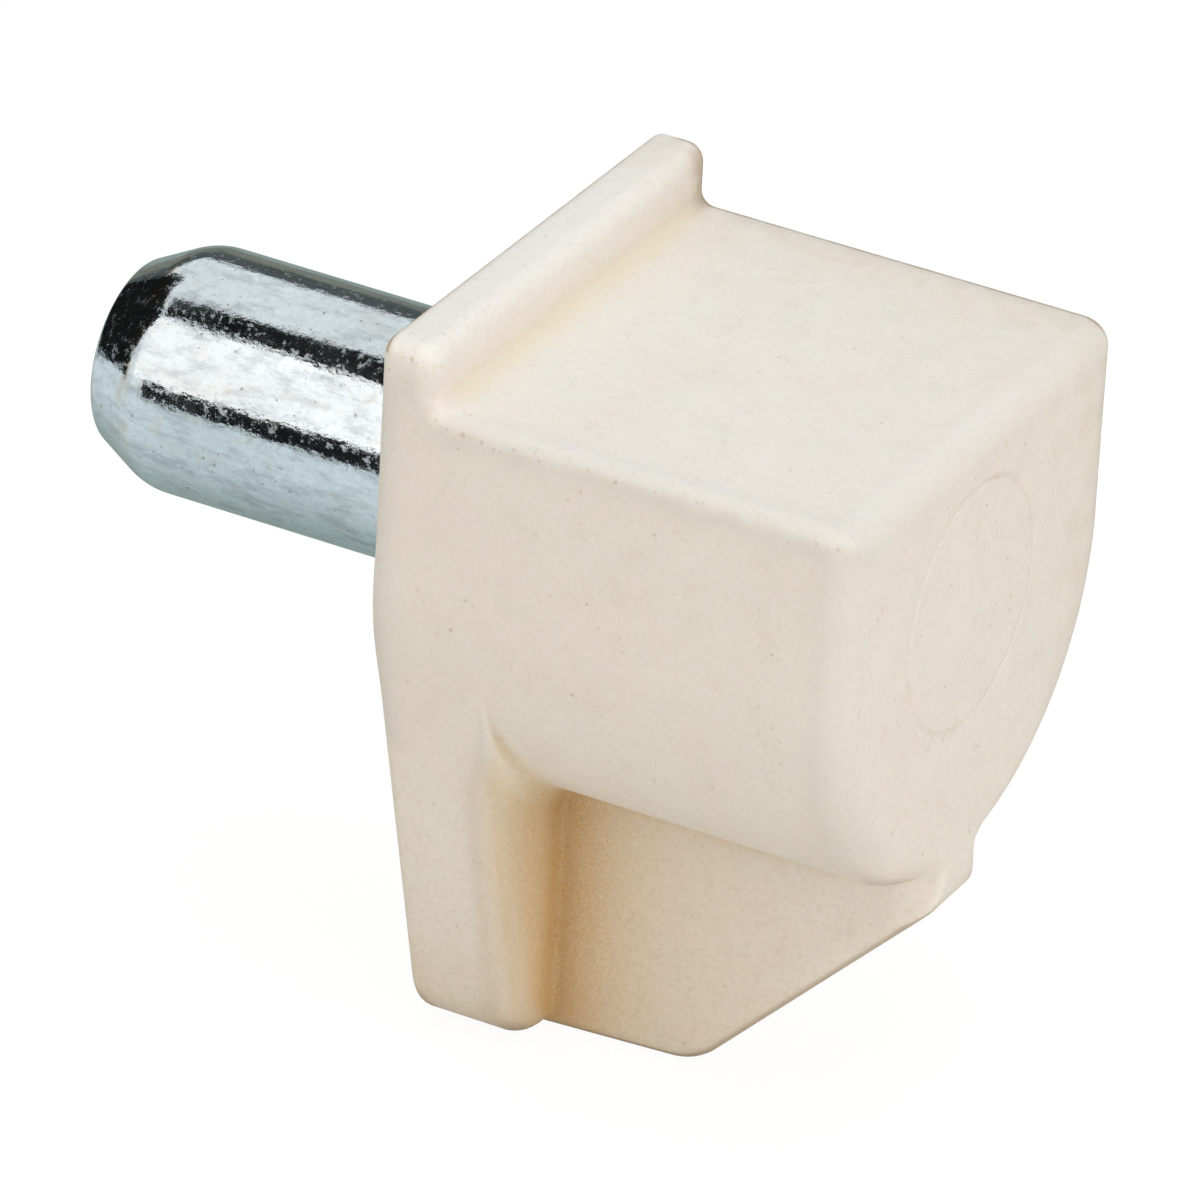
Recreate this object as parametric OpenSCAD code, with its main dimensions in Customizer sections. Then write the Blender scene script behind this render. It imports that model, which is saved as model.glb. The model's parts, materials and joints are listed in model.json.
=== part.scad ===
// Shelf support pin: a plated steel pin with a moulded plastic head.
// +X runs along the pin's axis from its tip to the head's front face, and +Z is up.
// The origin is where the pin's axis crosses the head's back face.
// Sizes are in millimetres and angles in degrees.

/* [Pin] */
// Diameter of the part that goes into the cabinet's hole
pin_d = 5; // [4.5:0.25:6]
// Length that stands out of the head's back face
pin_out = 8.4; // [6:0.1:12]
// Length of the taper at the tip
tip_len = 1.2; // [0.6:0.1:2]
// Diameter of the tapered end
tip_d = 3.74; // [2.5:0.02:4]
// Radius that blends the taper into the full diameter
shoulder_r = 1.4; // [0.2:0.1:2]
// Radius around the flat end
tip_r = 0.2; // [0.05:0.05:0.3]
// Length that is pressed into the head
pin_in = 6.6; // [4:0.2:7.4]
// Chamfer at the end inside the head
end_cut = 0.4; // [0.1:0.1:0.8]
// Width of the relief groove just inside the head
groove_w = 0.6; // [0.55:0.05:1]
// Depth of that groove
groove_depth = 0.3; // [0.1:0.05:0.6]

/* [Block] */
// Gap between the pin and the wall of its bore, none for a pressed pin
bore_gap = 0; // [0:0.01:0.05]
// Room left in the bore beyond the pin's end
bore_spare = 0.3; // [0:0.1:0.8]
// Width of the head
head_w = 10.9; // [9:0.1:14]
// Depth of the head from its back face to its front face
head_len = 10.2; // [8.5:0.1:14]
// Height of the shelf seat above the pin's axis
seat_h = 3.85; // [3.2:0.05:5.5]
// How far the straight sides run down below the pin's axis
side_drop = 0.25; // [0:0.05:1]
// Radius of the edges around the front face
front_r = 0.7; // [0.1:0.1:1]
// Radius of the two side edges of the seat
seat_r = 0.4; // [0.1:0.1:0.8]

/* [Back plate] */
// Height of the lip above the seat
lip_h = 1.25; // [0.8:0.05:3]
// Thickness of the lip
lip_t = 1.15; // [0.8:0.05:2]
// Radius of the lip's two upper corners
lip_corner_r = 0.5; // [0.1:0.1:1.5]
// Thickness of the plate below the block
plate_t = 2.4; // [1.2:0.1:3.5]
// Depth of the plate's foot below the pin's axis
foot_drop = 11.05; // [9:0.05:14]
// How far the flat under the foot runs past the web on each side
foot_margin = 0.1; // [0.05:0.05:1]
// Radius of the foot's two corners
foot_r = 1.5; // [0.8:0.1:2.5]
// How far the plate's sloping sides stand back from the block's round underside
plate_step = 0.03; // [0.01:0.01:0.2]
// Radius of the plate's front edges
rim_r = 0.45; // [0.1:0.05:0.5]
// Radius of the plate's back edges
back_r = 0.25; // [0.05:0.05:0.4]
// Radius of the hollow where the lip meets the seat
hollow_r = 0.5; // [0.1:0.1:0.8]

/* [Web] */
// Thickness of the web where it leaves the plate
web_root = 3.3; // [2:0.1:4.4]
// Thickness of the web at the front face
web_nose = 2; // [1:0.1:3]
// Distance from the back face to the web's lower corner
web_corner = 5.4; // [4:0.1:6.5]
// Radius of that lower corner
web_r = 1.4; // [0.2:0.1:2]
// Radius of the hollows where the web leaves the plate
web_hollow_r = 0.4; // [0.1:0.1:0.8]
// How far the web reaches below the block at the front face
nose_drop = 0.55; // [0.3:0.05:1.5]
// Radius of the web's corner at the front face
nose_r = 0.4; // [0.1:0.1:0.5]

/* [Moulding mark] */
// Radius of the fine ring left in the front face
mark_r = 2.55; // [1.5:0.05:3]
// Width of the ring's groove
mark_w = 0.12; // [0.05:0.01:0.3]
// Depth of the ring's groove
mark_depth = 0.05; // [0.02:0.01:0.15]
// Sideways distance of the ring's centre from the pin's axis
mark_y = -0.3; // [-0.5:0.1:0.5]
// Height of the ring's centre above the pin's axis
mark_z = 0.2; // [-0.5:0.1:0.5]

/* [Hidden] */
$fn = 96;
ARC_STEPS = 8;                      // straight steps in each small rounded edge
CUT = 1;                            // how far a cutting shape runs past a face
SUNK = 0.01;                        // how far a hollow's ends lie inside the faces it blends
HULL_FN = 32;                       // facets around the plate's round parts
half_w = head_w / 2;
lip_top = seat_h + lip_h;           // height of the lip's top edge
foot_flat = web_root + 2 * foot_margin;
foot_z = foot_r - foot_drop;        // height of the centres of the foot's two corners
nose_z = -side_drop - half_w - nose_drop;
buried_z = -side_drop - half_w / 2; // height inside the block where the web ends

// Points of an arc about c, from angle a to angle b.
function arc(c, r, a, b) =
    [for (i = [0:ARC_STEPS]) let (t = a + (b - a) * i / ARC_STEPS) c + r * [cos(t), sin(t)]];

// Arc that rounds the corner p between its neighbours a and b, to radius r.
function rounded(a, p, b, r) =
    let (
        u = (a - p) / norm(a - p),
        v = (b - p) / norm(b - p),
        half = acos(u * v) / 2,
        c = p + (u + v) / norm(u + v) * r / sin(half),
        start = p + u * r / tan(half) - c,
        end = p + v * r / tan(half) - c,
        from = atan2(start[1], start[0]),
        turn = atan2(start[0] * end[1] - start[1] * end[0], start * end)
    )
    arc(c, r, from, from + turn);

// Outline through points whose corners are rounded to the matching radii, 0 for a sharp one.
module outline(points, radii) {
    n = len(points);
    polygon([
        for (i = [0:n - 1])
            each radii[i] > 0
                ? rounded(points[(i + n - 1) % n], points[i], points[(i + 1) % n], radii[i])
                : [points[i]]
    ]);
}

// Carries a [y, z] outline forward from x = 0.
module forward(length) {
    rotate([90, 0, 90]) linear_extrude(length) children();
}

// Carries an [x, z] outline across the width, centred.
module across(width) {
    rotate([90, 0, 0]) linear_extrude(width, center = true) children();
}

// Turns a [radius, x] outline about the X axis. Angle 0 is straight down and +Y is 90.
module turned(from, to) {
    rotate([0, 90, 0]) rotate([0, 0, from]) rotate_extrude(angle = to - from) children();
}

// Section from an inner line out to a side at reach, with its back and front edges rounded.
module edge_section(reach, depth, back, front) {
    outline([[0, 0], [reach, 0], [reach, depth], [0, depth]], [0, back, front, 0]);
}

// Straight pin, tapered at the tip. Its other end is pressed into the head, past a relief groove.
module pin() {
    r = pin_d / 2;
    groove_floor = r - groove_depth;
    color("silver")
        turned(0, 360)
            outline(
                [
                    [0, pin_in],
                    [r - end_cut, pin_in],
                    [r, pin_in - end_cut],
                    [r, groove_w],
                    [groove_floor, groove_w],
                    [groove_floor, 0],
                    [r, 0],
                    [r, tip_len - pin_out],
                    [tip_d / 2, -pin_out],
                    [0, -pin_out]
                ],
                [0, 0, 0, 0, 0, 0, 0, shoulder_r, tip_r, 0]
            );
}

// Blind bore in the head.
module bore() {
    rotate([0, 90, 0])
        translate([0, 0, -CUT]) cylinder(d = pin_d + 2 * bore_gap, h = CUT + pin_in + bore_spare);
}

// Block under the shelf: flat on top, straight at the sides and half round underneath.
module block() {
    intersection() {
        forward(head_len)
            outline(
                [[-half_w, -side_drop], [half_w, -side_drop], [half_w, seat_h], [-half_w, seat_h]],
                [0, 0, seat_r, seat_r]
            );
        across(head_w)
            outline(
                [[0, -side_drop], [head_len, -side_drop], [head_len, seat_h], [0, seat_h]],
                [0, 0, front_r, 0]
            );
        translate([0, 0, -side_drop])
            linear_extrude(seat_h + side_drop)
                outline(
                    [[0, -half_w], [head_len, -half_w], [head_len, half_w], [0, half_w]],
                    [back_r, front_r, front_r, back_r]
                );
    }
    translate([0, 0, -side_drop]) turned(-90, 90) edge_section(half_w, head_len, back_r, front_r);
}

// Upper part of the back plate, whose lip stands above the seat.
module lip() {
    intersection() {
        forward(lip_t)
            outline(
                [[-half_w, -side_drop], [half_w, -side_drop], [half_w, lip_top], [-half_w, lip_top]],
                [0, 0, lip_corner_r, lip_corner_r]
            );
        across(head_w)
            outline(
                [[0, -side_drop], [lip_t, -side_drop], [lip_t, lip_top], [0, lip_top]],
                [0, 0, rim_r, back_r]
            );
        translate([0, 0, -side_drop])
            linear_extrude(lip_top + side_drop)
                outline(
                    [[0, -half_w], [lip_t, -half_w], [lip_t, half_w], [0, half_w]],
                    [back_r, rim_r, rim_r, back_r]
                );
    }
}

// Hollow that blends the lip's face into the seat.
module lip_hollow() {
    c = [lip_t + hollow_r - SUNK, seat_h + hollow_r - SUNK];
    across(head_w - 2 * seat_r)
        polygon(concat(
            [[lip_t / 2, seat_h - hollow_r], [c[0], seat_h - hollow_r]],
            arc(c, hollow_r, 270, 180),
            [[lip_t / 2, c[1]]]
        ));
}

// Lower part of the back plate, which narrows from the block's round underside to its foot.
module lower_plate() {
    hull() {
        translate([0, 0, -side_drop])
            turned(-90, 90, $fn = HULL_FN)
                edge_section(half_w - plate_step, plate_t, back_r, rim_r);
        for (side = [-1, 1])
            translate([0, side * foot_flat / 2, foot_z])
                turned(-90, 90, $fn = HULL_FN) edge_section(foot_r, plate_t, back_r, rim_r);
    }
}

// Web that props the block from below, thinner towards its nose.
module web() {
    intersection() {
        across(web_root + web_nose)
            outline(
                [
                    [plate_t / 2, buried_z],
                    [plate_t / 2, -foot_drop],
                    [web_corner, -foot_drop],
                    [head_len, nose_z],
                    [head_len, buried_z]
                ],
                [0, 0, web_r, nose_r, 0]
            );
        translate([0, 0, -foot_drop])
            linear_extrude(foot_drop + buried_z)
                outline(
                    [
                        [plate_t / 2, -web_root / 2],
                        [plate_t, -web_root / 2],
                        [head_len, -web_nose / 2],
                        [head_len, web_nose / 2],
                        [plate_t, web_root / 2],
                        [plate_t / 2, web_root / 2]
                    ],
                    [0, 0, nose_r, nose_r, 0, 0]
                );
    }
}

// Hollows that blend the web's two sides into the plate, above the foot's rounded corners.
module web_hollows() {
    lean = (web_root - web_nose) / 2 * web_hollow_r / (head_len - plate_t);
    c = [plate_t + web_hollow_r - SUNK, web_root / 2 + web_hollow_r - lean - SUNK];
    for (side = [0, 1])
        mirror([0, side, 0])
            translate([0, 0, foot_z])
                linear_extrude(buried_z - foot_z)
                    polygon(concat(
                        [[plate_t / 2, 0], [c[0], 0]],
                        arc(c, web_hollow_r, 270, 180),
                        [[plate_t / 2, c[1]]]
                    ));
}

// Fine ring that the mould leaves in the front face.
module mark() {
    translate([0, mark_y, mark_z])
        turned(0, 360)
            translate([mark_r - mark_w / 2, head_len - mark_depth]) square([mark_w, CUT]);
}

module head() {
    color("antiquewhite") difference() {
        union() {
            block();
            lip();
            lip_hollow();
            lower_plate();
            web();
            web_hollows();
        }
        bore();
        mark();
    }
}

pin();
head();
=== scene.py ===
"""Looks of the shelf support pin: an ivory moulded head and a bright zinc-plated pin.

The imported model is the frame: +X runs from the pin's tip to the head's front face, +Y is left and
+Z is up. Shapes are worked out in millimetres and written to the meshes in metres.
"""

import json

import bpy
import numpy as np
from mathutils import Matrix, Vector


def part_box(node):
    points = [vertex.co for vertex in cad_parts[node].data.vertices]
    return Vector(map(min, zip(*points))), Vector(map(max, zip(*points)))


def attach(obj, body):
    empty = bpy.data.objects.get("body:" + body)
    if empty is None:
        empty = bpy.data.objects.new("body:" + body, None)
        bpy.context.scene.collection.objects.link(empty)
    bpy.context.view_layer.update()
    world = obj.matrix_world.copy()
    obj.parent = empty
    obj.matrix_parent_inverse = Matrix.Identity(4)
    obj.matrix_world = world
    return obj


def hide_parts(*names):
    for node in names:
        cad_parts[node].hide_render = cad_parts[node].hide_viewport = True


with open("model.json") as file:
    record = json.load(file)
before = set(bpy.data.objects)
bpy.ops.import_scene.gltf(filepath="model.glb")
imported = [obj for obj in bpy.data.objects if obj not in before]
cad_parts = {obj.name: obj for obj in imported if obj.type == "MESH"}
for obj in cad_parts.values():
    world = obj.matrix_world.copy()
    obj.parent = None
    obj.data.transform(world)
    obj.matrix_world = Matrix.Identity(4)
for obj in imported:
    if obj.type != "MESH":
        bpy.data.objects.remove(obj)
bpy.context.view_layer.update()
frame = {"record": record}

MM = 0.001

# ---------------------------------------------------------------- sizes, in millimetres

head_low, head_high = (np.array(corner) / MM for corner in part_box("head"))
pin_low, pin_high = (np.array(corner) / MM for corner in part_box("pin"))
MOUNTS = {mount["name"]: mount for mount in frame["record"]["mounts"]}

HALF_W = head_high[1]
HEAD_LEN = head_high[0]
LIP_TOP = head_high[2]
FOOT_Z = head_low[2]
SEAT_Z = MOUNTS["shelf_rest"]["pos_m"][2] / MM
PIN_R = MOUNTS["pin"]["dims"]["r_mm"]
PIN_TIP = pin_low[0]
PIN_END = pin_high[0]

SIDE_Z = -0.25          # where the straight sides turn into the round underside
LIP_T = 1.15            # thickness of the lip
PLATE_T = 2.4           # thickness of the plate below the block
FOOT_R = 1.5            # radius of the foot's two corners
FOOT_HALF = 1.75        # distance of their centres from the middle
WEB_ROOT = 1.65         # half the web's thickness at the plate
WEB_NOSE = 1.0          # half the web's thickness at the front face
WEB_CORNER = 5.4        # distance of the web's lower corner from the back face
NOSE_Z = -6.25          # height of the web's lower edge at the front face
BORE_R = PIN_R
BORE_END = PIN_END + 0.3
BORE_MOUTH = 0.05       # chamfer of the bore's mouth

# Radii of the head's rounded edges and hollows
FRONT_R = 0.7
NOSE_R = 0.95
SIDE_R = 0.42
BACK_R = 0.25
LIP_R = 0.42
RIM_R = 0.55
WEB_R = 1.2
WEB_EDGE_R = 0.3
HOLLOW_R = 0.25
PLATE_HOLLOW_R = 0.6
WEB_HOLLOW_R = 0.12

SHARP_FROM = np.radians(50)  # an edge that turns by more than this is shaded as a sharp one

# Ring that the mould leaves in the front face
RING_CENTRE = np.array([-0.3, 0.2])
RING_R = 2.55
RING_HALF_W = 0.06
RING_DEPTH = 0.04

# Pin, from the end inside the head to the tip
END_CUT = 0.4           # chamfer of the end inside the head
GROOVE_W = 0.6          # relief groove at the head's back face
GROOVE_DEPTH = 0.3
TAPER = 1.2             # length of the tip's taper
TAPER_R = 1.4           # rounding where the taper begins
TIP_R = 1.87
TIP_EDGE_R = 0.2
POLE_R = 0.2            # radius of the circle that a fan closes at either end
COLLAR_X = PIN_TIP + 1.05  # middle of the stained band at the taper's beginning

# ---------------------------------------------------------------- colours, camera and light

# Colours, as shares of red, green and blue light
IVORY = (0.82, 0.768, 0.695, 1)
IVORY_PINK = (0.815, 0.742, 0.672, 1)
IVORY_GREEN = (0.79, 0.762, 0.685, 1)
# Paler ivory that the top of the lip drifts to.
IVORY_PALER = (0.85, 0.825, 0.78, 1)
# Painted shade for the rounded edges.
IVORY_EDGE_SHADE = (0.70, 0.67, 0.62, 1)
# Painted glow, the warm light that gathers in the angle between lip and seat.
IVORY_HOLLOW_GLOW = (0.80, 0.715, 0.54, 1)
# Painted shade, warm and deep, for the hollows and the nook beside the web.
IVORY_WARM_SHADE = (0.65, 0.475, 0.255, 1)
IVORY_DEEP_SHADE = (0.52, 0.305, 0.10, 1)
# Grime colours, also used for painted shade on the edges, the plate's rim and the faces that look
# down.
PALE_GRIME_AND_SHADE = (0.60, 0.50, 0.38, 1)
GRIME_AND_SHADE = (0.34, 0.25, 0.16, 1)
SPECK = (0.40, 0.26, 0.13, 1)
ZINC = (0.70, 0.79, 0.825, 1)
ZINC_DULL = (0.63, 0.72, 0.765, 1)
ZINC_DARK = (0.40, 0.45, 0.48, 1)
ZINC_OLIVE = (0.60, 0.64, 0.60, 1)
STAIN = (0.62, 0.56, 0.47, 1)
PIT = (0.08, 0.08, 0.08, 1)
WHITE = (1, 1, 1, 1)

# Room, and floor under the foot
ROOM_COLOUR = (1, 0.96, 0.89, 1)
ROOM_LIGHT = 0.8
ROOM_LIGHT_LEFT = 0.16
FLOOR_COLOUR = (0.84, 0.81, 0.765, 1)
FLOOR_WHITE = 0.9       # share of plain white in the floor as the camera sees it
FLOOR_GLOW = 1.05       # strength of that white
FLOOR_HALF = 2000
FLOOR_GAP = 0.02        # between the foot and the floor
# Painted reflection of the floor, darkening towards the left for its shade under the object.
FLOOR_MIRRORED_NEAR = (0.80, 0.84, 0.85, 1)
FLOOR_MIRRORED_SHADE = (0.31, 0.38, 0.36, 1)
FLOOR_RUN = (-19, 2.5)  # from the first mirrored colour to the second, towards the left
FLOOR_SLANT = 0.4       # how much that run also turns towards the front

# Camera: angles in degrees, and a shift of its aim to the right and down across the view
CAMERA_ROUND = 27.58    # from the right side, -Y, round to the front
CAMERA_UP = 28.7
CAMERA_ROLL = 3.15
CAMERA_AWAY = 237.16
CAMERA_AIM = np.array([4.0, 0.0, -2.5])
CAMERA_SHIFT = (-1.652, -0.657)
CAMERA_LENS = 368.8
CAMERA_FILM = 36

LAMP_AIM = Vector((0, 0, -2))


# ---------------------------------------------------------------- shapes from formulas


def meet(a, b, radius, lean=0.0):
    """Where two solids overlap, with the edge between their faces rounded to the radius. The lean
    is the cosine of the angle between the ways the two faces look, and 0 for a square edge."""
    u, v = a + radius, b + radius
    reach = np.maximum(u**2 + v**2 - 2 * lean * u * v, 0) / (1 - lean**2)
    rounded = (u > lean * v) & (v > lean * u)
    return np.where(rounded, np.sqrt(reach) - radius, np.maximum(a, b))


def join(a, b, radius):
    """Two solids together, with the inner corner between their faces filled to the radius."""
    beyond = np.hypot(np.maximum(radius - a, 0), np.maximum(radius - b, 0))
    return np.maximum(radius, np.minimum(a, b)) - beyond


def fade(t):
    """Rises smoothly from 0 to 1 as t goes from 0 to 1."""
    t = np.clip(t, 0, 1)
    return t * t * (3 - 2 * t)


def plate_outline(y, z):
    """Distance outside the back plate's outline: the block's round underside and the foot's two
    corners, with the straight lines that touch both. The plate's top end is inside the block."""
    run = np.array([FOOT_HALF, FOOT_Z + FOOT_R - SIDE_Z])
    length = np.hypot(*run)
    along = (y * run[0] + (z - SIDE_Z) * run[1]) / length
    across = (-y * run[1] + (z - SIDE_Z) * run[0]) / length
    lean = (HALF_W - FOOT_R) / length
    upright = np.sqrt(1 - lean**2)
    place = upright * along - lean * across
    flank = upright * across + lean * along - HALF_W
    side = np.where(
        place < 0,
        np.hypot(along, across) - HALF_W,
        np.where(place > upright * length, np.hypot(along - length, across) - FOOT_R, flank),
    )
    return np.maximum(np.where(y < FOOT_HALF, FOOT_Z - z, side), z - SIDE_Z - 1)


def web_half(x):
    """Half the web's thickness, which tapers evenly from the plate to the front face."""
    return WEB_ROOT + (WEB_NOSE - WEB_ROOT) * (x - PLATE_T) / (HEAD_LEN - PLATE_T)


def head_field(x, y, z):
    """Below 0 inside the head and above 0 outside it, so the head's skin is where it is 0. The
    block, the plate and the web are joined in turn and then cut off at the front and the back.
    The radii at the plate's rim and in the hollows beside it fade out where the block and the
    plate come level, and the web's nose is rounded more than the rest of the front face."""
    y = np.abs(y)
    tub = np.hypot(y, np.minimum(z - SIDE_Z, 0)) - HALF_W
    top = join(z - SEAT_Z, meet(x - LIP_T, z - LIP_TOP, LIP_R), HOLLOW_R)
    block = meet(tub, top, SIDE_R)

    outline = plate_outline(y, z)
    proud = tub - outline
    plate = meet(outline, x - PLATE_T, RIM_R * fade((proud - 0.05) / 0.8))
    body = join(block, plate, PLATE_HOLLOW_R * fade(proud / 0.9))

    rise = np.array([HEAD_LEN - WEB_CORNER, NOSE_Z - FOOT_Z])
    rise = rise / np.hypot(*rise)
    slant = (x - WEB_CORNER) * rise[1] - (z - FOOT_Z) * rise[0]
    flank = y - web_half(x)
    web = meet(flank, meet(FOOT_Z - z, slant, WEB_R, rise[1]), WEB_EDGE_R)
    body = join(body, np.maximum(web, z - SIDE_Z), WEB_HOLLOW_R * fade((z - FOOT_Z - 0.1) / 0.6))

    lean = rise[1] * fade((slant - flank + 0.3) / 0.6)
    nose = 1 - fade((z - SIDE_Z + HALF_W + 0.3) / 0.6)
    body = meet(body, x - HEAD_LEN, FRONT_R + (NOSE_R - FRONT_R) * nose, lean)
    return meet(body, -x, BACK_R)


def slopes(points, field, nudge=1e-4):
    """Gradient of the field at each point: how much the field changes over a small step along
    each axis, over the step's length."""
    steps = [
        field(*np.moveaxis(points + shift, -1, 0)) - field(*np.moveaxis(points - shift, -1, 0))
        for shift in nudge * np.eye(3)
    ]
    return np.stack(steps, axis=-1) / (2 * nudge)


def settled(points, field, passes=40):
    """Grid of points brought onto the skin. Each pass draws every point inside the grid towards
    the mean of its four neighbours, by a share that fades out over the passes, and then moves it
    along the field's slope by the field over the slope."""
    points = points.copy()
    for share in np.linspace(0.5, 0, passes):
        sides = np.roll(points, 1, axis=1) + np.roll(points, -1, axis=1)
        mean = (sides[1:-1] + points[2:] + points[:-2]) / 4
        points[1:-1] += share * (mean - points[1:-1])
        slope = slopes(points, field)
        size = np.maximum((slope**2).sum(-1), 0.1)
        points -= (field(*np.moveaxis(points, -1, 0)) / size)[..., None] * slope
    return points


# ---------------------------------------------------------------- where painted shade and grime go

# A measure gives every point of the grid a share from 0 to 1, which the material reads. The bare
# numbers in its formula are lengths in millimetres, parts of an outward direction, or shares.


def around(points, field, reach):
    """Mean of the field over six points, one reach from each point along every axis."""
    steps = [
        field(*np.moveaxis(points + sign * reach * axis, -1, 0))
        for axis in np.eye(3)
        for sign in (-1, 1)
    ]
    return np.mean(steps, axis=0)


def hollowness(points, field, reaches=(0.4, 1.0, 2.2)):
    """How shut in each point is, from 0 on an open face to 1 in a square corner: how far below 0
    the field's mean around the point falls, in thirds of the reach, over several reaches. The
    material paints warm shade and glow in the hollows by it, and places specks there. It counts
    for less above the pin's axis, so that less shade is painted there, and the front face has none."""
    falls = [np.clip(-3 * around(points, field, reach) / reach, 0, 1) for reach in reaches]
    below_axis = 0.42 + 0.58 * fade(-points[..., 2] / 3)
    return np.mean(falls, axis=0) * below_axis * (points[..., 0] <= HEAD_LEN - 0.1)


def two_falls(away, share, first, second):
    """Dies away from 1 with the distance: one share of it over the first length, and the rest
    over the second."""
    return share * np.exp(-away / first) + (1 - share) * np.exp(-away / second)


# The material paints warm shade by this measure.
def nook(points):
    """How near each point lies to the nook between the plate's face and the web, up to 1. It
    begins below the block and dies away in two falls each way: along the web, across the
    plate's face and behind that face. Lower down it reaches less far across the plate, whose
    foot keeps a little of it everywhere."""
    x, y, z = np.moveaxis(points, -1, 0)
    forward = np.maximum(x - PLATE_T, 0) + 0.2 * (x > PLATE_T + 0.02)
    behind = np.maximum(PLATE_T - 0.14 - x, 0)
    aside = np.maximum(np.abs(y) - web_half(x) - 0.33, 0)
    lower = fade((-z - 7.0) / 3.5)
    along = two_falls(forward, 0.66, 0.8, 5.0)
    across = two_falls(aside, 0.74 - 0.12 * lower, 3.0 - 1.5 * lower, 0.3)
    back = two_falls(behind, 0.74, 0.14, 1.2)
    below_block = fade((-z - 2.2) / 2.2)
    foot = 0.2 * fade((-z - 6.0) / 4.5) * np.exp(-forward / 0.3)
    return np.maximum(below_block * along * back * across, foot)


# The material paints deep shade by this measure.
def corner(points):
    """How near each point lies to the line where the web leaves the plate's face: 1 on a strip
    of the plate close beside the web, dying away beyond it, and 0 above the web."""
    x, y, z = np.moveaxis(points, -1, 0)
    away = np.hypot(x - PLATE_T, np.maximum(np.abs(y) - web_half(x) - 0.25, 0))
    return fade((-z - 2.6) / 2.2) * np.exp(-away / 0.55)


def sharpness(points, field, reaches=(0.25, 0.5, 1.0)):
    """How much each point sticks out, from 0 on an open face to 1 on a square edge: how far above
    its own value the field's mean around the point rises, in thirds of the reach, over several
    reaches, so that it dies away softly beside an edge."""
    own = field(*np.moveaxis(points, -1, 0))
    rises = [np.clip(3 * (around(points, field, reach) - own) / reach, 0, 1) for reach in reaches]
    return np.mean(rises, axis=0)


def facing(points, field):
    """The skin's own outward direction at each point, of length 1."""
    slope = slopes(points, field)
    return slope / np.maximum(np.linalg.norm(slope, axis=-1, keepdims=True), 1e-9)


def brow(points, outward):
    """1 along the line where the sides turn over towards the top, half of that on the ring in the
    front face, and 0 elsewhere. Both die away sideways as a bell curve."""
    turned = np.exp(-(((outward[..., 2] - 0.35) / 0.22) ** 2))
    line = turned * fade((np.abs(outward[..., 1]) - 0.5) / 0.3) * fade((points[..., 2] - 3) / 0.4)
    from_ring = np.linalg.norm(points[..., 1:] - RING_CENTRE, axis=-1) - RING_R
    ring = np.exp(-((from_ring / 0.1) ** 2)) * (points[..., 0] > HEAD_LEN - 0.1)
    return line + 0.5 * ring


def shade_and_grime_left(points, outward):
    """How much painted shade, mixed with grime, each point gets at the head's left end and above
    the
    web: the darkening towards the left side and along its edges stands for shade there. It is up
    to 0.5 on the seat and the front face, up to 0.75 in the angle between lip and seat, and 1 on
    the left edges of the top and on the lip's back edge, and each of them dies away softly."""
    x, y, z = np.moveaxis(points, -1, 0)
    back_way, left_way, up_way = -outward[..., 0], outward[..., 1], outward[..., 2]
    # Painted shade that grows towards the left side.
    near = 0.5 * np.exp((y - HALF_W) / 1.6) * np.clip(1 - 2 * left_way, 0, 1)
    left = 0.4 * fade((y - HALF_W + 0.6) / 0.35) + 0.6 * fade((left_way - 0.08) / 0.3)
    left = left * fade((y - 3) / 1.5) * (1 - fade((left_way - 0.6) / 0.4))
    left = left * fade((x - 0.35) / 0.3)
    back = fade((0.22 - x) / 0.15) * (1 - fade((back_way - 0.8) / 0.2))
    back = back * fade((z - 3.6) / 0.6) * fade((up_way - 0.1) / 0.3)
    tuck = 0.75 * np.exp(-(((x - LIP_T) / 0.4) ** 2))
    tuck = tuck * fade((y - 3.9) / 1.3) * fade((z - 3.6) / 0.3)
    most = np.max([near, left, back, tuck], axis=0)
    return most * fade((z + 5.5) / 1.5)


# ---------------------------------------------------------------- grids and meshes


def between(points, counts, axis, bunch=0.75):
    """Points in straight lines between neighbours along one axis, closer together near each
    neighbour: the share is t - bunch * sin(2 pi t) / 2 pi."""
    steps = [np.arange(n) / n for n in counts]
    shares = [i + t - bunch * np.sin(2 * np.pi * t) / (2 * np.pi) for i, t in enumerate(steps)]
    place = np.append(np.concatenate(shares), len(counts))
    first = np.minimum(place.astype(int), len(counts) - 1)
    share = np.expand_dims(place - first, tuple(i for i in range(points.ndim) if i != axis))
    start = np.take(points, first, axis)
    end = np.take(points, first + 1, axis)
    return start + (end - start) * share


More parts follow.
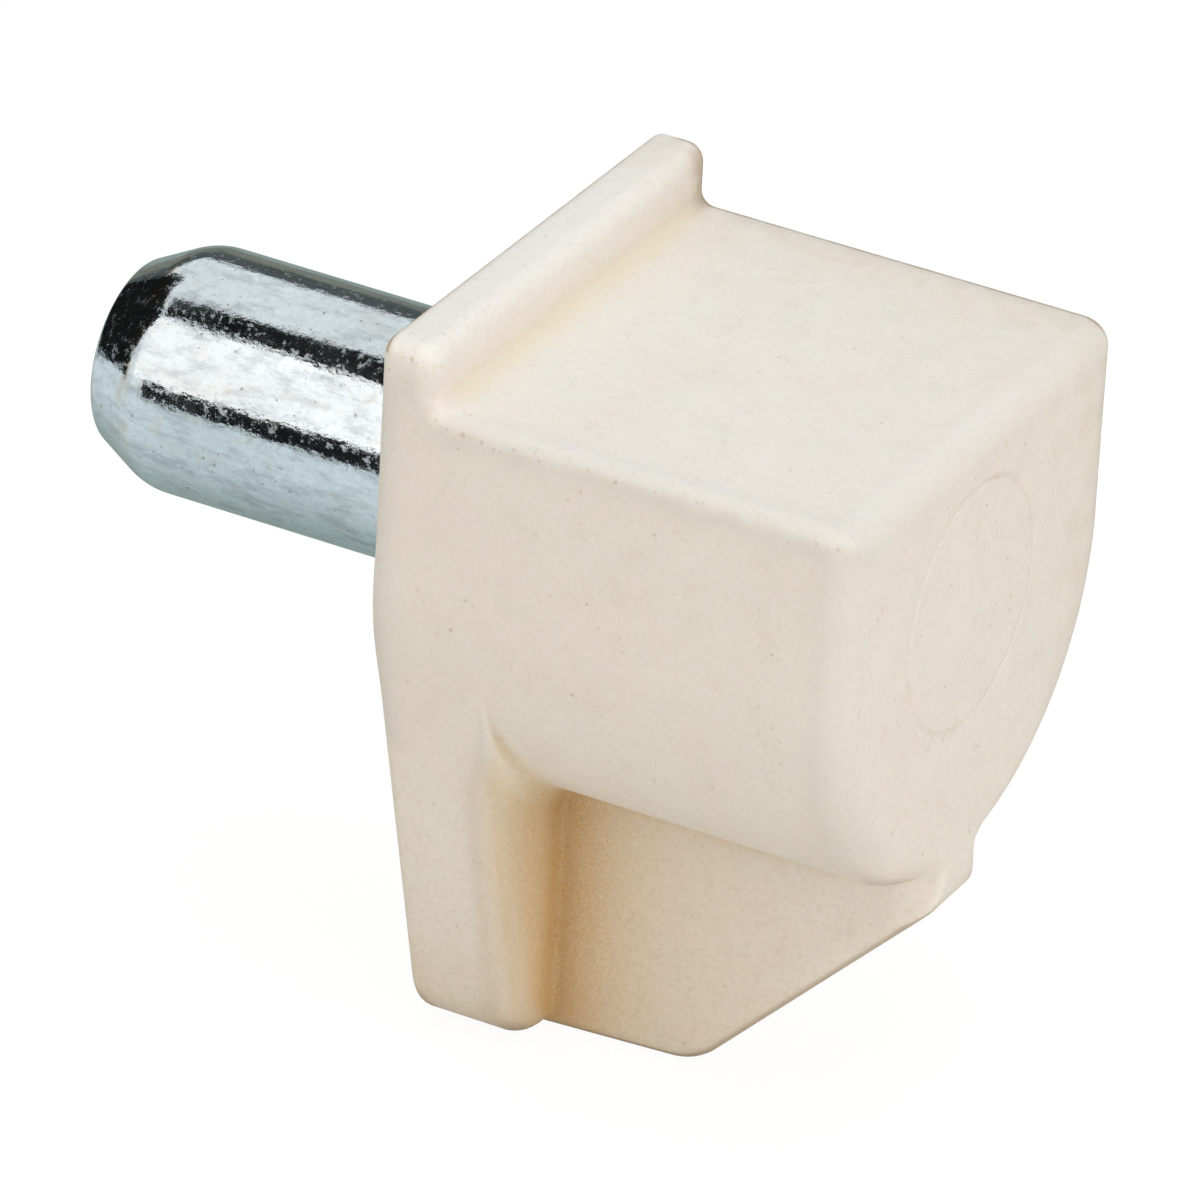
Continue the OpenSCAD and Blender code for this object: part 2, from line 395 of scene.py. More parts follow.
def closed_mesh(name, rows, measures):
    """Mesh of a grid of rows. Each row is a closed loop, and the first and last rows are closed
    by a fan to their middle. The loops run clockwise as seen from the front and follow each other
    towards the front, so the faces point outwards. Each measure gives every point of the grid a
    number, which the piece's material reads by the measure's name."""
    count, across = rows.shape[:2]
    ends = rows[[0, -1]].mean(axis=1)
    vertices = np.concatenate([rows.reshape(-1, 3), ends]) * MM
    here = np.arange(across)
    after = np.roll(here, -1)
    start = np.arange(count - 1)[:, None] * across
    quads = np.stack(
        [start + here, start + across + here, start + across + after, start + after], axis=-1
    ).reshape(-1, 4)
    last = (count - 1) * across
    pole = count * across
    fans = np.concatenate(
        [
            np.stack([np.full(across, pole), here, after], axis=-1),
            np.stack([np.full(across, pole + 1), last + after, last + here], axis=-1),
        ]
    )
    mesh = bpy.data.meshes.new(name)
    mesh.from_pydata(vertices.tolist(), [], quads.tolist() + fans.tolist())
    mesh.shade_smooth()
    mesh.set_sharp_from_angle(angle=SHARP_FROM)
    for measure, values in measures.items():
        layer = mesh.attributes.new(measure, "FLOAT", "POINT")
        layer.data.foreach_set(
            "value", np.concatenate([values.ravel(), values[[0, -1]].mean(axis=1)]).astype("f")
        )
    piece = bpy.data.objects.new(name, mesh)
    bpy.context.scene.collection.objects.link(piece)
    return piece


# ---------------------------------------------------------------- the head


def on_underside(degrees):
    """Point on the round underside, by its angle from straight down."""
    angle = np.radians(degrees)
    return HALF_W * np.sin(angle), SIDE_Z - HALF_W * np.cos(angle)


def station(top_x, top_z, shoulder, side_x, low, bottom_x):
    """Corner points of one half of a cross-section, from the top's middle down one side to the
    bottom's middle."""
    return [
        (top_x, 0, top_z),
        (top_x, HALF_W, top_z),
        (shoulder[0], HALF_W, shoulder[1]),
        (side_x, HALF_W, 0),
        *low[:-1],
        (bottom_x, *low[-1][1:]),
        (bottom_x, 0, low[-1][2]),
    ]


def head_sections():
    """Cross-sections of the head with sharp corners, from its back face to its front face. They
    only lay the grid out along the skin's edges, so most of their numbers are rough places, and
    settled() then brings the grid onto the skin."""
    lip_side, seat_side = 4.3, 3.0
    leave = np.array(on_underside(77))
    toe = np.array([FOOT_HALF + 0.97 * FOOT_R, FOOT_Z + 0.75 * FOOT_R])

    def plate(x, leave_x):
        return [
            (leave_x, *leave),
            (x, *(leave + (toe - leave) * 0.34)),
            (x, *(leave + (toe - leave) * 0.68)),
            (x, *toe),
            (x, FOOT_HALF + 0.7 * FOOT_R, FOOT_Z + 0.3 * FOOT_R),
            (x, WEB_ROOT + 0.4, FOOT_Z),
            (x, WEB_ROOT, FOOT_Z),
        ]

    def bar(x, leave_x, low):
        half = web_half(x)
        join_z = SIDE_Z - np.sqrt(HALF_W**2 - half**2)
        step = join_z - low
        return [
            (leave_x, *leave),
            (x, *on_underside(57)),
            (x, *on_underside(37)),
            (x, half, join_z),
            (x, half, join_z - 0.45 * step),
            (x, half, low + 0.12 * step),
            (x, half, low),
        ]

    def straight(x, low):
        return station(x, SEAT_Z, (x, seat_side), x, bar(x, x, low), x)

    return np.array(
        [
            station(0, LIP_TOP, (0, lip_side), 0, plate(0, 0), 0),
            station(LIP_T, LIP_TOP, (0.5, lip_side), 0.6, plate(1.3, 0.8), 1.3),
            station(LIP_T, SEAT_Z, (1.5, seat_side), 1.5, plate(1.9, 1.6), 1.8),
            station(2.3, SEAT_Z, (2.3, seat_side), 2.2, plate(PLATE_T, 2.1), PLATE_T),
            station(3.6, SEAT_Z, (3.6, seat_side), 3.3, bar(PLATE_T, 3.0, FOOT_Z), 2.9),
            straight(WEB_CORNER, FOOT_Z),
            straight(HEAD_LEN, NOSE_Z),
        ]
    )


def drawn_in(edge, centre, radius, steps):
    """Rows in the plane of an edge loop, drawn in from it to a circle about the centre."""
    flat = edge[:, 1:] - centre
    circle = edge.copy()
    circle[:, 1:] = centre + flat / np.hypot(*flat.T)[:, None] * radius
    return between(np.stack([edge, circle]), [steps], axis=0)


def ringed(circle, centre, stops):
    """Rows that turn a circle into further ones, each with its own distance and radius."""
    spokes = (circle[:, 1:] - centre) / np.hypot(*(circle[:, 1:] - centre).T)[:, None]
    return np.stack(
        [np.column_stack([np.full(len(spokes), x), centre + spokes * r]) for x, r in stops]
    )


def head_rows():
    """The whole skin of the head as rows around the pin's axis: the bore, the back face, the
    sides, the front face and the mould's ring. The two lists say how many rows go from each
    cross-section to the next, and how many columns from each of its corners to the next."""
    rows_between = [18, 16, 16, 26, 24, 46]
    columns_between = [26, 10, 14, 10, 12, 12, 14, 16, 14, 8, 10]
    half = between(head_sections(), rows_between, axis=0)
    half = between(half, columns_between, axis=1)
    other = half[:, -2:0:-1] * [1, -1, 1]
    sides = np.concatenate([half, other], axis=1)
    back = drawn_in(sides[0], np.zeros(2), BORE_R + BORE_MOUTH, 26)[::-1]
    front = drawn_in(sides[-1], RING_CENTRE, RING_R + 0.1, 30)
    skin = settled(np.concatenate([back[:-1], sides, front[1:]]), head_field)
    bore = [(BORE_END, 0.5 * BORE_R), (BORE_END, BORE_R), (BORE_MOUTH, BORE_R)]
    ring = [
        (HEAD_LEN, RING_R + RING_HALF_W),
        (HEAD_LEN - RING_DEPTH, RING_R + RING_HALF_W / 3),
        (HEAD_LEN - RING_DEPTH, RING_R - RING_HALF_W / 3),
        (HEAD_LEN, RING_R - RING_HALF_W),
        (HEAD_LEN, RING_R - 2 * RING_HALF_W),
        *[(HEAD_LEN, RING_R * share) for share in (0.88, 0.75, 0.6, 0.45, 0.3, 0.15)],
    ]
    return np.concatenate(
        [ringed(skin[0], np.zeros(2), bore), skin, ringed(skin[-1], RING_CENTRE, ring)]
    )


# ---------------------------------------------------------------- the pin


def filleted(corners, radii, steps=7):
    """Outline through the corners, each rounded to its radius, 0 for a sharp one. An arc's points
    turn evenly about its middle, between the two places where it touches its sides."""
    corners = np.array(corners, float)
    points = [corners[:1]]
    for before, corner, after, radius in zip(corners, corners[1:], corners[2:], radii[1:]):
        u = (before - corner) / np.hypot(*(before - corner))
        v = (after - corner) / np.hypot(*(after - corner))
        half = np.arccos(u @ v) / 2
        t = np.linspace(0, 1, steps)[:, None]
        middle = corner + (u + v) / np.hypot(*(u + v)) * radius / np.sin(half)
        start = corner + u * radius / np.tan(half) - middle
        end = corner + v * radius / np.tan(half) - middle
        turn = np.pi - 2 * half
        arc = (np.sin((1 - t) * turn) * start + np.sin(t * turn) * end) / np.sin(turn)
        points.append(middle + arc if radius else corner[None])
    points.append(corners[-1:])
    return np.concatenate(points)


def pin_rows(around=192):
    """The pin's outline turned about its axis: each point of the outline becomes a circle."""
    corners = [
        (PIN_END, POLE_R),
        (PIN_END, PIN_R - END_CUT),
        (PIN_END - END_CUT, PIN_R),
        (GROOVE_W, PIN_R),
        (GROOVE_W, PIN_R - GROOVE_DEPTH),
        (0, PIN_R - GROOVE_DEPTH),
        (0, PIN_R),
        (PIN_TIP + TAPER, PIN_R),
        (PIN_TIP, TIP_R),
        (PIN_TIP, POLE_R),
    ]
    radii = [0, 0, 0, 0, 0, 0, 0, TAPER_R, TIP_EDGE_R, 0]
    outline = filleted(corners, radii)[::-1]
    angle = np.linspace(0, 2 * np.pi, around, endpoint=False)
    x = np.repeat(outline[:, :1], around, axis=1)
    return np.stack([x, outline[:, 1:] * np.sin(angle), outline[:, 1:] * np.cos(angle)], axis=-1)


# ---------------------------------------------------------------- materials


class Graph:
    """Nodes of one material or world. Lengths are in millimetres in the object's own space."""

    def __init__(self, owner):
        owner.use_nodes = True
        self.tree = owner.node_tree
        self.tree.nodes.clear()

    def add(self, kind, settings=None, **inputs):
        """A new node with its settings, and values or links for its inputs by name."""
        node = self.tree.nodes.new(kind)
        for key, value in (settings or {}).items():
            setattr(node, key, value)
        for key, value in inputs.items():
            self.put(node, key.replace("_", " "), value)
        return node

    def put(self, node, key, value):
        """Links an output to a node's input, or sets the input's own value."""
        socket = node.inputs[key]
        if isinstance(value, bpy.types.NodeSocket):
            self.tree.links.new(value, socket)
        else:
            socket.default_value = value

    def place(self):
        """Position on the object, in millimetres."""
        here = self.add("ShaderNodeTexCoord").outputs["Object"]
        return self.scaled(here, (1 / MM, 1 / MM, 1 / MM))

    def scaled(self, vector, scale):
        """A position stretched by its own factor along each axis."""
        return self.add("ShaderNodeMapping", Vector=vector, Scale=scale).outputs[0]

    def axis(self, vector, letter):
        """One of the three numbers of a position or direction."""
        return self.add("ShaderNodeSeparateXYZ", Vector=vector).outputs[letter]

    def measure(self, name):
        """A number that the mesh carries at each point."""
        return self.add("ShaderNodeAttribute", {"attribute_name": name}).outputs["Fac"]

    def noise(self, vector, scale, detail=2.0, roughness=0.5):
        """Soft noise with so many blobs to the millimetre, from 0 to 1."""
        node = self.add(
            "ShaderNodeTexNoise",
            Vector=vector,
            Scale=scale,
            Detail=detail,
            Roughness=roughness,
        )
        return node.outputs["Fac"]

    def dots(self, vector, scale, radius, share):
        """Soft uneven dots, so many cells to the millimetre and up to a radius in cells. About
        this share of the cells has one. Gives 1 inside a dot and 0 outside."""
        stir = self.add("ShaderNodeTexNoise", Vector=vector, Scale=2.5 * scale)
        stirred = self.add("ShaderNodeVectorMath", {"operation": "MULTIPLY_ADD"})
        for i, value in enumerate((stir.outputs["Color"], (0.3 / scale,) * 3, vector)):
            self.put(stirred, i, value)
        cells = self.add("ShaderNodeTexVoronoi", Vector=stirred.outputs[0], Scale=scale)
        drawn = self.add("ShaderNodeSeparateColor", Color=cells.outputs["Color"]).outputs
        size = self.span(drawn["Red"], 1 - share, 1, 0, radius)
        far = self.maths("DIVIDE", cells.outputs["Distance"], self.maths("ADD", size, 1e-4))
        return self.span(far, 0.55, 1.0, 1.0, 0.0)

    def maths(self, operation, *values, clamp=False):
        """One step of arithmetic."""
        node = self.add("ShaderNodeMath", {"operation": operation, "use_clamp": clamp})
        for i, value in enumerate(values):
            self.put(node, i, value)
        return node.outputs[0]

    def times(self, first, *others, clamp=False):
        """Product of the values."""
        for other in others:
            first = self.maths("MULTIPLY", first, other, clamp=clamp)
        return first

    def span(self, value, low, high, start=0.0, end=1.0):
        """Turns low to high into start to end, smoothly, and holds beyond them."""
        node = self.add(
            "ShaderNodeMapRange",
            {"interpolation_type": "SMOOTHSTEP"},
            Value=value,
            From_Min=low,
            From_Max=high,
            To_Min=start,
            To_Max=end,
        )
        return node.outputs["Result"]

    def blend(self, share, first, second):
        """Second shader over the first, by a share from 0 to 1."""
        node = self.add("ShaderNodeMixShader", Fac=share)
        for i, value in enumerate((first, second), 1):
            self.put(node, i, value.outputs[0])
        return node

    def mix(self, share, first, second):
        """Second colour over the first, by a share from 0 to 1."""
        node = self.add("ShaderNodeMix", {"data_type": "RGBA"})
        self.put(node, "Factor", share)
        for i, value in ((6, first), (7, second)):
            self.put(node, i, value)
        return node.outputs[2]

    def bump(self, height, distance, strength, under=None):
        """Surface relief whose height from 0 to 1 is worth the distance in millimetres."""
        node = self.add(
            "ShaderNodeBump", Height=height, Distance=distance * MM, Strength=strength
        )
        if under is not None:
            self.put(node, "Normal", under)
        return node.outputs[0]


def cloudy_ivory(g, place):
    """Ivory that drifts to pink and to green, and is paler along the top of the lip."""
    cloud = g.noise(place, 0.45, detail=3.0)
    tint = g.noise(place, 1.1)
    colour = g.mix(g.span(cloud, 0.3, 0.7), IVORY, IVORY_PINK)
    colour = g.mix(g.span(tint, 0.5, 0.75, 0.0, 0.6), colour, IVORY_GREEN)
    return g.mix(g.span(g.axis(place, "Z"), 4.0, 5.0, 0.0, 0.7), colour, IVORY_PALER)


def painted_hollow_shade(g, colour, mottle, grain):
    """Painted shade: warmer and darker in the hollows and the nook, for the shade and the warm
    light bounced between the faces there, and warmest where the web leaves the plate.
    """
    uneven = g.times(g.span(mottle, 0.25, 0.75, 0.88, 1.12), g.span(grain, 0.2, 0.8, 0.75, 1.25))
    hollow = g.maths("MAXIMUM", g.measure("hollow"), g.measure("nook"))
    warm_shade = g.times(g.span(hollow, 0.0, 0.6, 0.0, 0.88), uneven, clamp=True)
    colour = g.mix(warm_shade, colour, IVORY_WARM_SHADE)
    # Painted deep shade where the web leaves the plate.
    deep_shade = g.span(g.measure("corner"), 0.0, 1.0, 0.0, 0.8)
    return g.mix(g.times(deep_shade, uneven, clamp=True), colour, IVORY_DEEP_SHADE)


def clouded(g, colour, place, blotch, mottle):
    """A thin pale tint all over, heavier towards the foot, and a painted warm glow where lip
    and seat meet, for the light that gathers in that angle.
    """
    height = g.axis(place, "Z")
    thin = g.times(g.span(mottle, 0.4, 0.8), g.span(height, -9, 0, 0.34, 0.18))
    colour = g.mix(thin, colour, PALE_GRIME_AND_SHADE)
    colour = g.mix(g.span(blotch, 0.48, 0.75, 0.0, 0.12), colour, PALE_GRIME_AND_SHADE)
    # Painted warm glow in the angle between lip and seat.
    hollow_glow = g.times(
        g.span(g.measure("hollow"), 0.03, 0.2),
        g.span(height, 3.2, 3.8),
        g.span(blotch, 0.3, 0.6, 0.35, 0.75),
    )
    return g.mix(hollow_glow, colour, IVORY_HOLLOW_GLOW)


def specked(g, colour, place, blotch):
    """Small faint specks and fewer dark ones, more of both where the plastic is blotchy."""
    dusty = g.span(blotch, 0.42, 0.66, 0.25, 1.0)
    small = g.times(g.dots(place, 6.5, 0.36, 0.55), dusty, 0.17)
    large = g.times(g.dots(place, 3.8, 0.2, 0.5), dusty, 0.36)
    return g.mix(large, g.mix(small, colour, SPECK), SPECK)


def shaded_edges(g, colour, place):
    """Painted shade that greys the edges above the foot, less so on the lip, and more painted
    shade on the plate's rim.
    """
    edge = g.measure("edge")
    height = g.axis(place, "Z")
    forward = g.axis(place, "X")
    above_foot = g.span(height, -4.6, -3.4, 0.0, 0.85)
    below_lip = g.span(height, 4.0, 4.6, 1.0, 0.35)
    # Painted shade on the edges.
    colour = g.mix(g.times(g.span(edge, 0.0, 0.6), above_foot, below_lip), colour, IVORY_EDGE_SHADE)
    # Painted shade on the plate's rim.
    rim = g.times(
        g.span(forward, 1.2, 1.8),
        g.span(forward, 2.5, 2.9, 1.0, 0.0),
        g.span(height, -4.4, -3.0, 0.4, 0.0),
        g.span(edge, 0.03, 0.35),
    )
    return g.mix(rim, colour, PALE_GRIME_AND_SHADE)


def edge_specks(g, colour, place, blotch):
    """Specks along the brow, the edges and the hollows, and pale grime on the brow."""
    brow_line = g.measure("brow")
    rim = g.maths("MAXIMUM", brow_line, g.span(g.measure("edge"), 0.1, 0.7, 0.0, 0.25))
    rim = g.maths("MAXIMUM", rim, g.span(g.measure("hollow"), 0.2, 0.6, 0.0, 0.9))
    colour = g.mix(g.times(g.dots(place, 7.0, 0.5, 0.8), rim, 0.42), colour, SPECK)
    return g.mix(g.times(brow_line, g.span(blotch, 0.4, 0.65), 0.25), colour, PALE_GRIME_AND_SHADE)


def shade_below_and_grime(g, colour, blotch):
    """Painted shade in grime's colours on the edges and faces that look down, and patches of
    painted shade and grime where the left-side measure is high.
    """
    under = g.measure("under")
    # Painted shade on the edges and faces that look down.
    low_edge_shade = g.times(g.measure("edge"), under)
    colour = g.mix(g.times(low_edge_shade, 0.8, clamp=True), colour, PALE_GRIME_AND_SHADE)
    colour = g.mix(g.span(low_edge_shade, 0.22, 0.42, 0.0, 0.55), colour, GRIME_AND_SHADE)
    colour = g.mix(g.span(under, 0.75, 0.95, 0.0, 0.35), colour, PALE_GRIME_AND_SHADE)
    # Painted shade with grime on the left side, in patches.
    left_shade_and_grime = g.measure("shade_and_grime_left")
    patchy = g.times(left_shade_and_grime, g.span(blotch, 0.35, 0.6, 0.5, 0.9))
    colour = g.mix(patchy, colour, PALE_GRIME_AND_SHADE)
    darkest = g.times(g.span(left_shade_and_grime, 0.4, 0.9), g.span(blotch, 0.3, 0.6, 0.25, 0.7))
    return g.mix(darkest, colour, GRIME_AND_SHADE)


def plastic_material():
    """Matt ivory plastic: cloudy, finely speckled, with painted warm shade in the hollows and
    painted shade mixed with grime at the edges and on the faces that look down.
    """
    material = bpy.data.materials.new("ivory_plastic")
    g = Graph(material)
    place = g.place()
    blotch = g.noise(place, 1.6, detail=4.0, roughness=0.6)
    mottle = g.noise(place, 9.0, detail=3.0, roughness=0.65)
    grain = g.noise(place, 22.0, detail=1.0)

    colour = cloudy_ivory(g, place)
    colour = painted_hollow_shade(g, colour, mottle, grain)
    colour = clouded(g, colour, place, blotch, mottle)
    colour = specked(g, colour, place, blotch)
    colour = shaded_edges(g, colour, place)
    colour = edge_specks(g, colour, place, blotch)
    colour = shade_below_and_grime(g, colour, blotch)

    relief = g.bump(grain, 0.006, 0.5)
    relief = g.bump(mottle, 0.012, 0.4, relief)
    relief = g.bump(blotch, 0.012, 0.3, relief)
    shader = g.add(
        "ShaderNodeBsdfPrincipled",
        Base_Color=colour,
        Roughness=g.span(mottle, 0.2, 0.8, 0.48, 0.66),
        IOR=1.5,
        Normal=relief,
        Subsurface_Weight=0.25,
        Subsurface_Radius=(1.0, 0.55, 0.3),
        Subsurface_Scale=0.8 * MM,
        Specular_IOR_Level=0.35,
    )
    g.add("ShaderNodeOutputMaterial", Surface=shader.outputs[0])
    return material


def steel_material():
    """Bright zinc plate on steel: finely crystalline, drawn out along the pin, with faint brown
    stains, dull patches and dark pits."""
    material = bpy.data.materials.new("zinc_plate")
    g = Graph(material)
    place = g.place()
    drawn = g.scaled(place, (0.35, 1.0, 1.0))

    crystal = g.noise(place, 7.0, detail=3.0, roughness=0.6)
    streak = g.noise(drawn, 2.2, detail=3.0, roughness=0.55)
    patch = g.noise(drawn, 0.7, detail=3.0)
    film = g.noise(drawn, 1.5, detail=4.0, roughness=0.65)
    mottle = g.noise(drawn, 4.0, detail=4.0, roughness=0.7)
    stain = g.noise(place, 2.2, detail=4.0, roughness=0.7)
    pits = g.noise(place, 8.0)
    bloom = g.noise(place, 6.0, detail=4.0, roughness=0.7)
    from_collar = g.maths("ABSOLUTE", g.maths("SUBTRACT", g.axis(place, "X"), COLLAR_X))
    collar = g.span(from_collar, 0.04, 0.22, 1.0, 0.0)

    colour = g.mix(g.span(patch, 0.35, 0.7), ZINC, ZINC_DULL)
    colour = g.mix(g.span(film, 0.48, 0.72, 0.0, 0.5), colour, ZINC_OLIVE)
    colour = g.mix(g.span(crystal, 0.35, 0.8, 0.0, 0.3), colour, ZINC_DARK)
    colour = g.mix(g.span(mottle, 0.44, 0.68, 0.0, 0.65), colour, ZINC_DARK)
    colour = g.mix(g.span(stain, 0.55, 0.72, 0.0, 0.4), colour, STAIN)
    colour = g.mix(g.times(collar, g.span(stain, 0.4, 0.6, 0.1, 0.7)), colour, STAIN)
    colour = g.mix(g.span(pits, 0.68, 0.76, 0.0, 0.6), colour, PIT)

    polish = g.span(streak, 0.3, 0.75, 0.06, 0.12)
    dull = g.span(bloom, 0.52, 0.64)
    relief = g.bump(crystal, 0.006, 0.7)
    relief = g.bump(streak, 0.014, 0.6, relief)
    shader = g.add(
        "ShaderNodeBsdfPrincipled",
        Base_Color=colour,
        Roughness=g.maths("MULTIPLY_ADD", dull, 0.22, polish),
        Normal=relief,
        Metallic=1.0,
    )
    g.add("ShaderNodeOutputMaterial", Surface=shader.outputs[0])
    return material


# ---------------------------------------------------------------- camera, light and floor


def aimed_camera():
    """Long lens that looks at the head from above its front right corner. The camera's round and
    up angles give the way back to it, and its roll turns its own right and down."""
    turn, rise, roll = np.radians([CAMERA_ROUND, CAMERA_UP, CAMERA_ROLL])
    back = np.array([np.sin(turn) * np.cos(rise), -np.cos(turn) * np.cos(rise), np.sin(rise)])
    right = np.array([np.cos(turn), np.sin(turn), 0])
    down = -np.cross(back, right)
    rolled = np.array([[np.cos(roll), -np.sin(roll)], [np.sin(roll), np.cos(roll)]])
    right, down = rolled @ np.array([right, down])
    aim = CAMERA_AIM + CAMERA_SHIFT[0] * right + CAMERA_SHIFT[1] * down
    place = aim + CAMERA_AWAY * back
    camera = bpy.data.objects.new("camera", bpy.data.cameras.new("camera"))
    camera.data.sensor_width = CAMERA_FILM
    camera.data.lens = CAMERA_LENS
    camera.data.clip_start = 0.01
    camera.data.clip_end = 10
    camera.matrix_world = Matrix.Translation(Vector(place * MM)) @ Matrix(
        np.column_stack([right, -down, back]).tolist()
    ).to_4x4()
    bpy.context.scene.collection.objects.link(camera)
    bpy.context.scene.camera = camera


def white_world():
    """Plain white to the camera and in reflections. The light on the object is soft, and weaker
    from the left."""
    world = bpy.data.worlds.new("studio")
    bpy.context.scene.world = world
    g = Graph(world)
    path = g.add("ShaderNodeLightPath").outputs
    seen = g.maths("MAXIMUM", path["Is Camera Ray"], path["Is Glossy Ray"])
    seen = g.maths("MAXIMUM", seen, path["Is Transmission Ray"])
    way = g.add("ShaderNodeTexCoord").outputs["Generated"]
    strength = g.span(g.axis(way, "Y"), -0.3, 0.9, ROOM_LIGHT, ROOM_LIGHT_LEFT)
    light = g.add("ShaderNodeBackground", Color=ROOM_COLOUR, Strength=strength)
    shown = g.add("ShaderNodeBackground", Color=WHITE, Strength=1.0)
    both = g.blend(seen, light, shown)
    g.add("ShaderNodeOutputWorld", Surface=both.outputs[0])


def floor_material():
    """Pale floor that lights the object as it is, shows nearly white to the camera with the
    shadow in it, and is a soft run of two colours in reflections: a painted reflection that
    darkens towards the left, for the floor's shade under the object."""
    material = bpy.data.materials.new("pale_floor")
    g = Graph(material)
    path = g.add("ShaderNodeLightPath").outputs
    place = g.place()
    along = g.maths("MULTIPLY_ADD", g.axis(place, "X"), FLOOR_SLANT, g.axis(place, "Y"))
    image = g.mix(g.span(along, *FLOOR_RUN), FLOOR_MIRRORED_NEAR, FLOOR_MIRRORED_SHADE)
    plain = g.add("ShaderNodeBsdfDiffuse", Color=FLOOR_COLOUR)
    image = g.add("ShaderNodeEmission", Color=image, Strength=1.0)
    white = g.add("ShaderNodeEmission", Color=WHITE, Strength=FLOOR_GLOW)
    mirrored = g.maths("MAXIMUM", path["Is Glossy Ray"], path["Is Transmission Ray"])
    under = g.blend(mirrored, plain, image)
    both = g.blend(g.times(path["Is Camera Ray"], FLOOR_WHITE), under, white)
    g.add("ShaderNodeOutputMaterial", Surface=both.outputs[0])
    return material


def floor_plane():
    """Square floor under the foot, far wider than the view."""
    height = FOOT_Z - FLOOR_GAP
    corners = np.array([(-1, -1), (1, -1), (1, 1), (-1, 1)]) * FLOOR_HALF
    mesh = bpy.data.meshes.new("floor")
    mesh.from_pydata([(x * MM, y * MM, height * MM) for x, y in corners], [], [(0, 1, 2, 3)])
    mesh.materials.append(floor_material())
    floor = bpy.data.objects.new("floor", mesh)
    bpy.context.scene.collection.objects.link(floor)


def card(name, spokes, reach, colour):
    """Curved card around the pin that only reflections see. Its points stand at the reach from
    the pin's middle, along a grid of spokes of length 1."""
    rows, across = spokes.shape[:2]
    middle = np.array([PIN_TIP / 2, 0, 0])
    points = (middle + reach * spokes).reshape(-1, 3) * MM
    first = (np.arange(rows - 1)[:, None] * across + np.arange(across - 1)).ravel()
    faces = np.stack([first, first + 1, first + across + 1, first + across], axis=-1)
    mesh = bpy.data.meshes.new(name)
    mesh.from_pydata(points.tolist(), [], faces.tolist())
    piece = bpy.data.objects.new(name, mesh)
    bpy.context.scene.collection.objects.link(piece)
    material = bpy.data.materials.new(name)
    g = Graph(material)
    glow = g.add("ShaderNodeEmission", Color=(*colour, 1), Strength=1.0)
    g.add("ShaderNodeOutputMaterial", Surface=glow.outputs[0])
    mesh.materials.append(material)
    piece.visible_camera = False
    piece.visible_diffuse = False
    piece.visible_transmission = False
    piece.visible_volume_scatter = False
    piece.visible_shadow = False


def along_pin(low, high, lean):
    """Spokes that turn from the right over the top between two edges, and lean from square to
    the pin towards its tip by the last angles. Each edge has its own turn at either lean."""
    across, along = np.meshgrid(np.linspace(0, 1, 25), np.linspace(0, 1, 13), indexing="ij")
    first = low[0] + (low[1] - low[0]) * along
    last = high[0] + (high[1] - high[0]) * along
    over = np.radians(first + (last - first) * across)
    towards = np.radians(lean[0] + (lean[1] - lean[0]) * along)
    return np.stack(
        [-np.sin(towards), -np.cos(over) * np.cos(towards), np.sin(over) * np.cos(towards)],
        axis=-1,
    )


def past_tip(swing, rise):
    """Spokes that swing from straight out of the pin's tip towards the left by the first angles,
    and rise from level by the second."""
    aside, up = np.radians(
        np.meshgrid(np.linspace(*swing, 25), np.linspace(*rise, 13), indexing="ij")
    )
    return np.stack([-np.cos(aside) * np.cos(up), np.sin(aside) * np.cos(up), np.sin(up)], axis=-1)


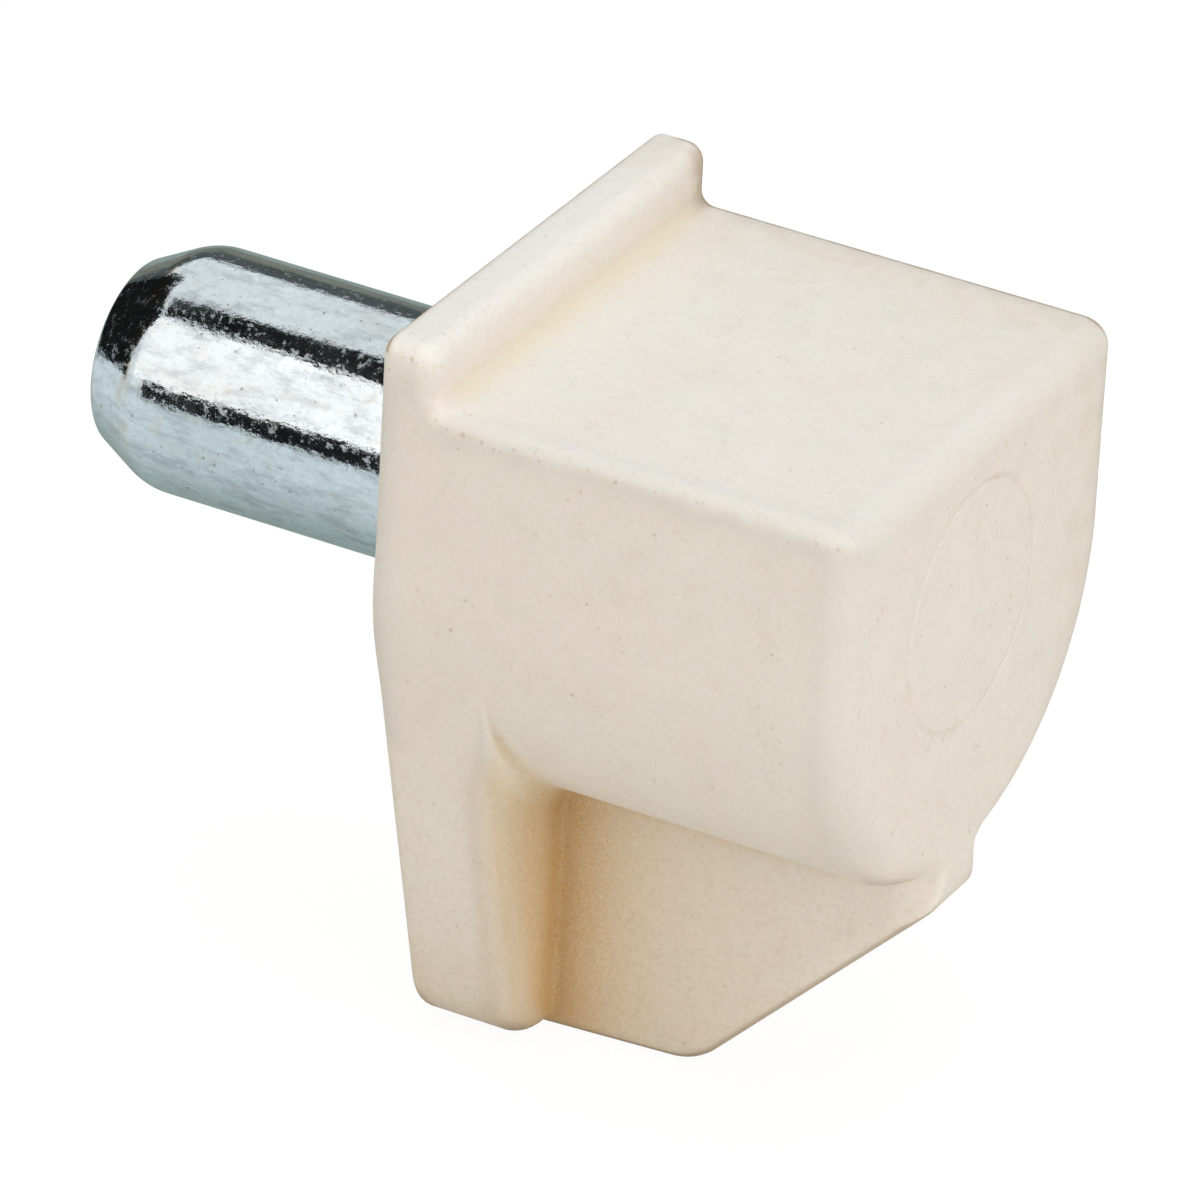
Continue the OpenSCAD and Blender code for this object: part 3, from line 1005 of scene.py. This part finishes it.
def reflected_room():
    """What the pin reflects besides the floor: two bright boxes over it, one inside the other,
    two thin dark gaps before them, dark cards on its left and a dark end past its tip."""
    box_lean, gap_lean, back_lean = (-35, 50), (12, 33), (-35, 70)
    black = (0.01, 0.01, 0.01)
    soft_box = along_pin(low=(-9, -9), high=(141, 141), lean=box_lean)
    bright_box = along_pin(low=(5, 5), high=(66, 66), lean=box_lean)
    low_gap = along_pin(low=(-14, -8.5), high=(8, 6), lean=gap_lean)
    high_gap = along_pin(low=(57, 70.5), high=(91, 86), lean=gap_lean)
    dark_back = along_pin(low=(147, 147), high=(168, 168), lean=back_lean)
    brown_back = along_pin(low=(168, 168), high=(192, 192), lean=back_lean)
    dark_end = past_tip(swing=(-26, 32), rise=(-5, 50))
    card("soft_box", soft_box, reach=210, colour=(0.97, 0.96, 0.95))
    card("bright_box", bright_box, reach=205, colour=(1.45, 1.35, 1.30))
    card("low_gap", low_gap, reach=45, colour=black)
    card("high_gap", high_gap, reach=45, colour=black)
    card("dark_back", dark_back, reach=200, colour=(0.10, 0.11, 0.11))
    card("brown_back", brown_back, reach=200, colour=(0.24, 0.24, 0.20))
    card("dark_end", dark_end, reach=75, colour=black)


def lamp(name, place, size, watts, colour):
    """Square soft lamp that faces the block, and that reflections don't see."""
    light = bpy.data.lights.new(name, "AREA")
    light.shape = "SQUARE"
    light.size = size * MM
    light.energy = watts
    light.color = colour
    thing = bpy.data.objects.new(name, light)
    way = LAMP_AIM - Vector(place)
    thing.matrix_world = (
        Matrix.Translation(Vector(place) * MM) @ way.to_track_quat("-Z", "Y").to_matrix().to_4x4()
    )
    thing.visible_glossy = False
    bpy.context.scene.collection.objects.link(thing)


# ---------------------------------------------------------------- the scene

bpy.context.scene.view_settings.view_transform = "Standard"
aimed_camera()

head_grid = head_rows()
outward = facing(head_grid, head_field)
head = closed_mesh(
    "head_skin",
    head_grid,
    {
        # The hollow, nook and corner measures place painted warm shade and glow.
        "hollow": hollowness(head_grid, head_field),
        "nook": nook(head_grid),
        "edge": sharpness(head_grid, head_field),
        "corner": corner(head_grid),
        "brow": brow(head_grid, outward),
        # Painted shade, mixed with grime, on the left side.
        "shade_and_grime_left": shade_and_grime_left(head_grid, outward),
        # Faces that look down, which the material paints with shade.
        "under": np.clip(-outward[..., 2], 0, 1),
    },
)
head.data.materials.append(plastic_material())
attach(head, "root")
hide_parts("head")

pin = closed_mesh("pin_skin", pin_rows(), {})
pin.data.materials.append(steel_material())
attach(pin, "root")
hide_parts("pin")

white_world()
floor_plane()
lamp("top_lamp", place=(20, 20, 330), size=300, watts=0.52, colour=(0.86, 1.0, 1.14))
lamp("side_lamp", place=(310, -80, 60), size=260, watts=0.4, colour=(1, 0.985, 1))
reflected_room()
